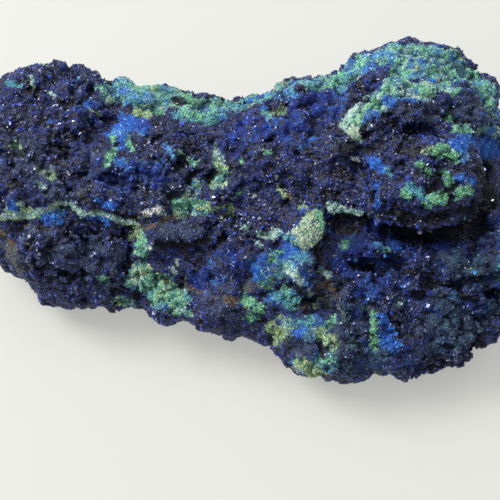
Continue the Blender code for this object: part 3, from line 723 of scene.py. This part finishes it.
def refine(piece, calm):
    """Adds the second relief, gentler on calm ground. Gives how proud each point is, and its lump."""
    p = coordinates(piece.data)
    n = normals(piece.data)
    above = ramp(p[:, 2], *FINE_FOOT)
    _, _, lump = cells(p, MIDDLE_NODULES[0], LUMP_SEED)
    relief = knobs(p, *MIDDLE_NODULES, LUMP_SEED) + gaps(p, *FINE_GAPS, FINE_GAP_SEED)
    relief = relief * (1 - MIDDLE_CALM * calm)
    relief = (relief + knobs(p, *SMALL_NODULES, SMALL_SEED) * (1 - SMALL_CALM * calm)) * above
    relief = np.where(relief > 0, CREST_SHARE * relief, relief)
    moved = p + n * relief[:, None]
    moved[:, 2] = np.maximum(moved[:, 2], 0.0)
    set_coordinates(piece.data, moved)
    return ramp(relief, *PROUD), lump


def on_surface(tree, place):
    """The point of the surface that a pixel of the photograph shows, or None."""
    px, py = place
    off_centre = RIGHT * (px - IMAGE_CENTRE) + UP * (IMAGE_CENTRE - py)
    way = FORWARD + off_centre / IMAGE_CENTRE * HALF_WIDTH / DISTANCE
    hit = tree.ray_cast(Vector(EYE), Vector(way).normalized())
    return None if hit[0] is None else np.array(hit[0])


def distance_to_line(points, line):
    nearest = np.full(len(points), FAR)
    ends = line[1:] if len(line) > 1 else line
    for a, b in zip(line, ends):
        along = b - a
        length = max(float(along @ along), 1e-9)
        t = np.clip((points - a) @ along / length, 0, 1)
        nearest = np.minimum(nearest, np.linalg.norm(points - a - t[:, None] * along, axis=1))
    return nearest


def seen(points, directions):
    """From 0 where the photograph can't show the surface to 1 where it faces the camera inside the frame."""
    way = points - EYE
    depth = way @ FORWARD
    facing = -(directions * way).sum(axis=1) / np.linalg.norm(way, axis=1)
    across = np.abs(way @ RIGHT / depth * DISTANCE / HALF_WIDTH)
    return ramp(facing, *FACING) * ramp(across, *FRAMED)


def radii_away(points, tree, radius, places):
    """Distance to the line through the places, in radii of so many pixels. It is far if they miss the stone."""
    line = [q for q in (on_surface(tree, place) for place in places) if q is not None]
    return distance_to_line(points, line) / (radius * PIXEL) if line else np.full(len(points), FAR)


def closeness(points, tree, radius, places, wobble):
    """From 0 outside to 1 inside a patch of that radius in pixels around the line through the places."""
    wobble = wobble * min(1.0, radius / STEADY_RADIUS)
    return ramp(radii_away(points, tree, radius, places) + wobble, *PATCH_EDGE)


def minerals(points, directions, tree):
    """How much of each kind lies at each point, in rows that add up to 1. Noise helps each kind compete."""
    wobble = sum(part * rough(points, size, seed) for part, size, seed in PATCH_WOBBLES)
    wobble = wobble + GRIT_WOBBLE[0] * drift(points, *GRIT_WOBBLE[1:])
    hidden = 1 - seen(points, directions)
    strength = {kind: np.zeros(len(points)) for kind in KINDS}
    strength["azurite"] += AZURITE_HOLD
    for shares, *areas in ZONES:
        inside = np.zeros(len(points))
        for radius, *places in areas:
            inside = np.maximum(inside, closeness(points, tree, radius, places, wobble))
        for kind, share in shares.items():
            strength[kind] = np.maximum(strength[kind], share * inside)
    for kind, patches in PATCHES.items():
        for radius, share, *places in patches:
            share = AZURITE_HOLD + (share - AZURITE_HOLD) * PATCH_FIRMNESS
            inside = closeness(points, tree, radius, places, wobble)
            strength[kind] = np.maximum(strength[kind], share * inside)
    below = ramp(directions[:, 2], *BELOW)
    behind = ramp(directions[:, 1], *BEHIND)
    for number, (kind, size, level, share) in enumerate(DRIFTS):
        gain, start = BELOW_LIFTS.get(kind, (0.0, 0.0))
        lift = gain * below + start + BEHIND_LIFTS.get(kind, 0.0) * behind
        field = rough(points, size, DRIFT_SEED + DRIFT_STEP * number) + lift + DRIFT_WOBBLE * wobble
        strength[kind] = np.maximum(strength[kind], share * ramp(field, level, level + DRIFT_EDGE) * hidden)
    rows = []
    for number, kind in enumerate(KINDS):
        seed = NOISE_SEED + NOISE_STEP * number
        noise = sum(depth * rough(points, size, seed + k) for k, (size, depth) in enumerate(NOISE_SHARES))
        rows.append(np.where(strength[kind] > FAINT, strength[kind] + noise, -1.0))
    rows = np.exp(SHARPNESS * np.array(rows))
    return (rows / rows.sum(axis=0)).T


def amount(rows, names):
    return sum(rows[:, KINDS.index(name)] for name in names)


def weighted(rows, ground):
    return sum(weight * amount(rows, names) for weight, names in ground)


def colours_of(rows):
    """Colour of what covers the azurite, and the share of it."""
    cover = rows[:, 1:]
    share = cover.sum(axis=1)
    return cover @ np.array([COLOURS[k] for k in KINDS[1:]]) / np.maximum(share, 1e-6)[:, None], share


def triangle_mesh(name, points, triangles):
    """A mesh of flat triangles, in metres, from points in millimetres."""
    mesh = bpy.data.meshes.new(name)
    mesh.vertices.add(len(points))
    mesh.vertices.foreach_set("co", (points * MM).astype(np.float32).ravel())
    mesh.loops.add(triangles.size)
    mesh.loops.foreach_set("vertex_index", triangles.astype(np.int32).ravel())
    mesh.polygons.add(len(triangles))
    mesh.polygons.foreach_set("loop_start", np.arange(0, triangles.size, 3, dtype=np.int32))
    mesh.polygons.foreach_set("use_smooth", np.zeros(len(triangles), bool))
    mesh.update(calc_edges=True)
    return mesh


SHAPES = {
    "bipyramid": (
        ((1, 0, 0), (0, 1, 0), (-1, 0, 0), (0, -1, 0), (0.15, 0.1, 1), (-0.15, -0.1, -1)),
        ((0, 1, 4), (1, 2, 4), (2, 3, 4), (3, 0, 4), (1, 0, 5), (2, 1, 5), (3, 2, 5), (0, 3, 5)),
    ),
    "splinter": (
        ((1, -0.6, -0.7), (-0.1, 1.1, -0.7), (-1, -0.5, -0.7), (0.05, 0.1, 1)),
        ((0, 2, 1), (0, 1, 3), (1, 2, 3), (2, 0, 3)),
    ),
    "wedge": (
        ((-1, -1, -1), (1, -1, -1), (1, 1, -1), (-1, 1, -1), (-0.75, 0.1, 1), (0.7, -0.1, 0.9)),
        ((0, 2, 1), (0, 3, 2), (0, 1, 5), (0, 5, 4), (2, 3, 4), (2, 4, 5), (1, 2, 5), (3, 0, 4)),
    ),
    "block": (
        ((-1, -1, -1), (1, -1, -1), (1, 1, -1), (-1, 1, -1),
         (-0.7, -0.9, 0.9), (0.95, -0.8, 0.65), (0.8, 0.85, 1.1), (-0.9, 0.7, 1.15)),
        ((0, 2, 1), (0, 3, 2), (4, 5, 6), (4, 6, 7), (0, 1, 5), (0, 5, 4),
         (1, 2, 6), (1, 6, 5), (2, 3, 7), (2, 7, 6), (3, 0, 4), (3, 4, 7)),
    ),
}


def scattered(piece, rng, count, weights):
    """Places on the mesh's triangles, with the triangle's normal and first vertex."""
    mesh = piece.data
    mesh.calc_loop_triangles()
    corners = np.zeros(len(mesh.loop_triangles) * 3, np.int32)
    mesh.loop_triangles.foreach_get("vertices", corners)
    corners = corners.reshape(-1, 3)
    p = coordinates(mesh)
    a, b, c = (p[corners[:, k]] for k in range(3))
    cross = np.cross(b - a, c - a)
    area = np.linalg.norm(cross, axis=1)
    chance = area * weights[corners].mean(axis=1)
    pick = rng.choice(len(corners), size=count, p=chance / chance.sum())
    u = rng.random(count)
    v = rng.random(count)
    over = u + v > 1
    u = np.where(over, 1 - u, u)
    v = np.where(over, 1 - v, v)
    at = a[pick] + (b - a)[pick] * u[:, None] + (c - a)[pick] * v[:, None]
    return at, cross[pick] / area[pick][:, None], corners[pick, 0]


def crystals(name, shape, at, up, sizes, colour, rng):
    """One mesh of many crystals: each stands on its place, leans and turns by chance, and has one colour."""
    count = len(at)
    z = up + rng.normal(size=(count, 3)) * LEAN
    z /= np.linalg.norm(z, axis=1)[:, None]
    x = np.cross(z, rng.normal(size=(count, 3)))
    x /= np.linalg.norm(x, axis=1)[:, None]
    y = np.cross(z, x)
    form, faces = SHAPES[shape]
    form = np.array(form, float)
    faces = np.array(faces)
    jitter = 1 + rng.normal(scale=CORNER_SPREAD, size=(count, len(form), 3))
    local = form[None] * jitter * sizes[:, None, :]
    points = (at[:, None] + local[:, :, 0:1] * x[:, None] + local[:, :, 1:2] * y[:, None]
              + local[:, :, 2:3] * z[:, None])
    points[:, :, 2] = np.maximum(points[:, :, 2], 0.0)
    triangles = (faces[None] + (np.arange(count) * len(form))[:, None, None]).reshape(-1, 3)
    mesh = triangle_mesh(name, points.reshape(-1, 3), triangles)
    tint = mesh.color_attributes.new("tint", "FLOAT_COLOR", "CORNER")
    rows = np.ones((count, len(faces) * 3, 4), np.float32)
    rows[:, :, :3] = colour[:, None, :]
    tint.data.foreach_set("color", rows.ravel())
    return new_object(name, mesh)


def node(tree, kind, inputs=(), **settings):
    """A shader node with its inputs, linked or set, and its settings."""
    made = tree.nodes.new("ShaderNode" + kind)
    for key, value in settings.items():
        setattr(made, key, value)
    for key, value in dict(inputs).items():
        if isinstance(value, bpy.types.NodeSocket):
            tree.links.new(value, made.inputs[key])
        else:
            made.inputs[key].default_value = value
    return made


def material(name):
    made = bpy.data.materials.new(name)
    made.use_nodes = True
    made.node_tree.nodes.clear()
    return made, made.node_tree


def in_millimetres(tree):
    place = node(tree, "TexCoord").outputs["Object"]
    return node(tree, "VectorMath", {0: place, "Scale": 1 / MM}, operation="SCALE").outputs[0]


def noise_at(tree, where, size, detail=2.0):
    made = node(tree, "TexNoise", {"Vector": where, "Scale": 1 / size, "Detail": detail, "Roughness": 0.6})
    return made.outputs["Fac"]


def noise_vector(tree, where, size, reach):
    """A vector of noise from about minus half to half of reach."""
    made = node(tree, "TexNoise", {"Vector": where, "Scale": 1 / size, "Detail": 1.0})
    halves = {0: made.outputs["Color"], 1: (0.5, 0.5, 0.5)}
    centred = node(tree, "VectorMath", halves, operation="SUBTRACT")
    return node(tree, "VectorMath", {0: centred.outputs[0], "Scale": reach}, operation="SCALE").outputs[0]


def remapped(tree, value, low, high, to_low=0.0, to_high=1.0):
    span = {"Value": value, "From Min": low, "From Max": high, "To Min": to_low, "To Max": to_high}
    return node(tree, "MapRange", span, interpolation_type="SMOOTHSTEP").outputs["Result"]


def mixed(tree, share, a, b, blend="MIX"):
    made = node(tree, "Mix", {"Factor": share}, data_type="RGBA", blend_type=blend)
    for socket, value in (("A_Color", a), ("B_Color", b)):
        target = next(s for s in made.inputs if s.identifier == socket)
        if isinstance(value, bpy.types.NodeSocket):
            tree.links.new(value, target)
        else:
            target.default_value = (*value, 1.0)
    return next(s for s in made.outputs if s.identifier == "Result_Color")


def maths(tree, operation, a, b):
    return node(tree, "Math", {0: a, 1: b}, operation=operation).outputs[0]


def stored(tree, name, output="Fac"):
    return node(tree, "Attribute", attribute_name=name).outputs[output]


def layered(tree, colour, layers, sources):
    """A colour with tints over it, each where its source is in its range."""
    for source, span, tone, blend in layers:
        colour = mixed(tree, remapped(tree, sources[source], *span), colour, tone, blend)
    return colour


def crust_material():
    """Azurite with its minerals: the tint and its share lie in the mesh, grain and relief come from noise.
    Painted shade darkens the gaps between grains and the hollows.
    """
    made, tree = material("azurite_crust")
    where = in_millimetres(tree)
    fine = noise_at(tree, where, *FINE_NOISE)
    bend = noise_vector(tree, where, *BEND)
    bent = node(tree, "VectorMath", {0: where, 1: bend}, operation="ADD").outputs[0]
    grains = node(tree, "TexVoronoi", {"Vector": bent, "Scale": GRAIN_SCALE})
    near = grains.outputs["Distance"]
    own = node(tree, "SeparateColor", {"Color": grains.outputs["Color"]}).outputs["Red"]
    broad = noise_at(tree, where, *BROAD_NOISE)
    sources = {"broad": broad, "own": own, "near": near, "proud": stored(tree, "proud")}
    azurite = layered(tree, COLOURS["azurite"], AZURITE_LAYERS, sources)
    cover = layered(tree, stored(tree, "tint", "Color"), COVER_LAYERS, sources)
    grain = maths(tree, "ADD", stored(tree, "share"), remapped(tree, own, *EDGE_GRAIN))
    edge = remapped(tree, grain, *EDGE_RANGE)
    colour = mixed(tree, edge, azurite, cover)
    roughness = remapped(tree, edge, 0.0, 1.0, *CRUST_ROUGHNESS)
    height = maths(tree, "SUBTRACT", maths(tree, "MULTIPLY", fine, FINE_RELIEF), near)
    bump = node(tree, "Bump", {"Strength": 1.0, "Distance": BUMP_DISTANCE, "Height": height})
    shader = node(tree, "BsdfPrincipled", {"Base Color": colour, "Roughness": roughness,
                                           "Normal": bump.outputs[0]})
    shader.inputs["IOR"].default_value = CRUST_IOR
    node(tree, "OutputMaterial", {"Surface": shader.outputs[0]})
    return made


def crystal_material(name, low, high, ior):
    """One colour a crystal, from the mesh, with slightly uneven faces."""
    made, tree = material(name)
    where = in_millimetres(tree)
    uneven = remapped(tree, noise_at(tree, where, *FACE_NOISE), *FACE_RANGE)
    colour = mixed(tree, uneven, stored(tree, "tint", "Color"), FACE_TINT, "MULTIPLY")
    roughness = remapped(tree, noise_at(tree, where, *GLOSS_NOISE), *GLOSS_RANGE, low, high)
    shader = node(tree, "BsdfPrincipled", {"Base Color": colour, "Roughness": roughness})
    shader.inputs["IOR"].default_value = ior
    node(tree, "OutputMaterial", {"Surface": shader.outputs[0]})
    return made


def azurite_colours(at, lump, rng):
    """A colour for each azurite crystal: indigo or royal blue by zone and lump, and some of another."""
    count = len(at)
    zone = ramp(rough(at, ZONE_SIZE, ZONE_SEED), *ZONE_EDGE) + ZONE_LUMP * (lump - 0.5)
    zone = np.clip(zone, 0, 1)[:, None]
    deep = np.array(COLOURS["azurite"])
    royal = np.array(COLOURS["royal"])
    colour = deep * (1 - ROYAL_SHARE * zone) + royal * ROYAL_SHARE * zone
    colour = colour * (LUMP_TONES[0] + LUMP_TONES[1] * lump[:, None])
    colour = colour * (CHANCE_TONES[0] + CHANCE_TONES[1] * rng.random((count, 1)))
    luck = rng.random(count)
    colour[luck < BRIGHT_FEW[0]] *= BRIGHT_FEW[1]
    colour[luck > DARK_FEW[0]] *= DARK_FEW[1]
    for lowest, highest, tint in ODD_CRYSTALS:
        odd = (luck > lowest) & (luck < highest)
        colour[odd] = np.array(tint) * (ODD_TONES[0] + ODD_TONES[1] * rng.random((odd.sum(), 1)))
    return colour


def add_crystals(piece, rows, proud, lump):
    """Azurite crystals where azurite is bare, and grains of the other minerals where they lie, darker in
    cavities and lighter on crests as painted shade and highlight.
    """
    rng = np.random.default_rng(CRYSTAL_SEED)
    upper = BELOW_SHARE + UPPER_SHARE * ramp(normals(piece.data)[:, 2], *UPPER)
    for_crystals = weighted(rows, CRYSTAL_GROUND) * (CAVITY_SHARE + CREST_GAIN * proud) * upper
    for_grains = weighted(rows, GRAIN_GROUND) * upper
    palette = np.array([COLOURS[k] for k in KINDS])
    crystal_kinds = np.array([k in CRYSTAL_KINDS for k in KINDS], float)
    glossy = crystal_material("azurite_crystal", *GLOSSY)
    dull = crystal_material("mineral_grain", *DULL)
    for name, shape, count, half in CRYSTAL_PIECES:
        grains = name.startswith("mineral")
        at, up, corner = scattered(piece, rng, count, for_grains if grains else for_crystals)
        scale = np.exp(rng.normal(scale=SIZE_SPREAD, size=(count, 1)))
        sizes = np.array(half) * scale * (1 + rng.normal(scale=SHAPE_SPREAD, size=(count, 3)))
        at = at - up * sizes[:, 2:3] * (GRAIN_SINK if grains else CRYSTAL_SINK)
        odds = rows[corner] ** TEMPER * (1.0 if grains else crystal_kinds)
        odds = (odds / odds.sum(axis=1)[:, None]).cumsum(axis=1)
        kind = (odds < rng.random((count, 1))).sum(axis=1).clip(0, len(KINDS) - 1)
        if grains:
            luck = rng.random(count)
            for name_of_blue, part in BLUE_GRAINS:
                kind[(luck > 0) & (luck < part)] = KINDS.index(name_of_blue)
                luck = luck - part
        colour = palette[kind] * np.exp(rng.normal(scale=TONE_SPREAD, size=(count, 1)))
        if not grains:
            bare = kind == 0
            colour[bare] = azurite_colours(at, lump[corner], rng)[bare]
        # Painted shade in cavities and painted highlight on crests
        low, high = GRAIN_SHADE_AND_HIGHLIGHT if grains else CRYSTAL_SHADE_AND_HIGHLIGHT
        colour = colour * (low + (high - low) * proud[corner])[:, None]
        made = crystals(name, shape, at, up, sizes, np.clip(colour, 0, LIGHTEST), rng)
        made.data.materials.append(dull if grains else glossy)
        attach(made, "root")


def add_crust(stone):
    piece = carve(stone)
    tree = BVHTree.FromObject(piece, bpy.context.evaluated_depsgraph_get())
    points = coordinates(piece.data)
    proud, lump = refine(piece, calmness(points, normals(piece.data), tree))
    # Crevices lower how proud a point is, so that they get painted shade
    keep_values(piece.data, "proud", proud * ramp(crevice_depth(points, tree), *CREVICE_SHADE))
    keep_values(piece.data, "lump", lump)
    triangles = sum(len(q.vertices) - 2 for q in piece.data.polygons)
    with_modifiers(piece, [("DECIMATE", {"ratio": CRUST_TRIANGLES / triangles})])
    proud, lump = (kept_values(piece.data, name) for name in ("proud", "lump"))
    points = coordinates(piece.data)
    rows = minerals(points, normals(piece.data), tree)
    add_crystals(piece, rows, proud, lump)
    tint, share = colours_of(rows)
    mesh = piece.data
    colours = np.ones((len(points), 4), np.float32)
    colours[:, :3] = tint
    mesh.color_attributes.new("tint", "FLOAT_COLOR", "POINT").data.foreach_set("color", colours.ravel())
    keep_values(mesh, "share", share)
    set_coordinates(mesh, points * MM)
    mesh.polygons.foreach_set("use_smooth", np.ones(len(mesh.polygons), bool))
    mesh.materials.append(crust_material())
    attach(piece, "root")
    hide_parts(STONE)


def add_floor():
    mesh = bpy.data.meshes.new("floor")
    h = FLOOR_HALF
    mesh.from_pydata([(-h, -h, 0), (h, -h, 0), (h, h, 0), (-h, h, 0)], [], [(0, 1, 2, 3)])
    floor = new_object("floor", mesh)
    made, tree = material("pale_floor")
    shader = node(tree, "BsdfPrincipled", {"Base Color": FLOOR_COLOUR, "Roughness": FLOOR_ROUGHNESS,
                                           "Emission Color": GLOW_COLOUR,
                                           "Emission Strength": FLOOR_GLOW})
    node(tree, "OutputMaterial", {"Surface": shader.outputs[0]})
    mesh.materials.append(made)


def add_lights():
    for name, place, size, power, colour, glossy_only in LIGHTS:
        light = bpy.data.lights.new(name, "AREA")
        light.shape = "RECTANGLE"
        light.size, light.size_y = size
        light.energy = power
        light.color = colour
        lamp = bpy.data.objects.new(name, light)
        lamp.location = place
        lamp.rotation_euler = (-Vector(place)).to_track_quat("-Z", "Y").to_euler()
        lamp.visible_diffuse = not glossy_only
        bpy.context.scene.collection.objects.link(lamp)
    world = bpy.data.worlds.new("studio")
    world.use_nodes = True
    tree = world.node_tree
    way = node(tree, "TexCoord").outputs["Generated"]
    product = node(tree, "VectorMath", {0: way, 1: BRIGHT_WAY}, operation="DOT_PRODUCT")
    towards = product.outputs["Value"]
    colour = mixed(tree, remapped(tree, towards, *BRIGHT_RANGE), WORLD_DIM, WORLD_BRIGHT)
    tree.links.new(colour, tree.nodes["Background"].inputs["Color"])
    bpy.context.scene.world = world
    bpy.context.scene.view_settings.view_transform = "Standard"


def add_camera():
    data = bpy.data.cameras.new("camera")
    data.sensor_width = SENSOR
    data.lens = SENSOR / 2 * DISTANCE / HALF_WIDTH
    data.clip_start, data.clip_end = CLIP
    camera = bpy.data.objects.new("camera", data)
    camera.location = Vector(EYE) * MM
    camera.rotation_euler = Vector(FORWARD).to_track_quat("-Z", "Y").to_euler()
    bpy.context.scene.collection.objects.link(camera)
    bpy.context.scene.camera = camera


def corners(box):
    return [list(box[0]), list(box[1])]


def main():
    clear_scene()
    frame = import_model()
    add_camera()
    add_lights()
    add_floor()
    add_crust(frame["nodes"][STONE])


main()
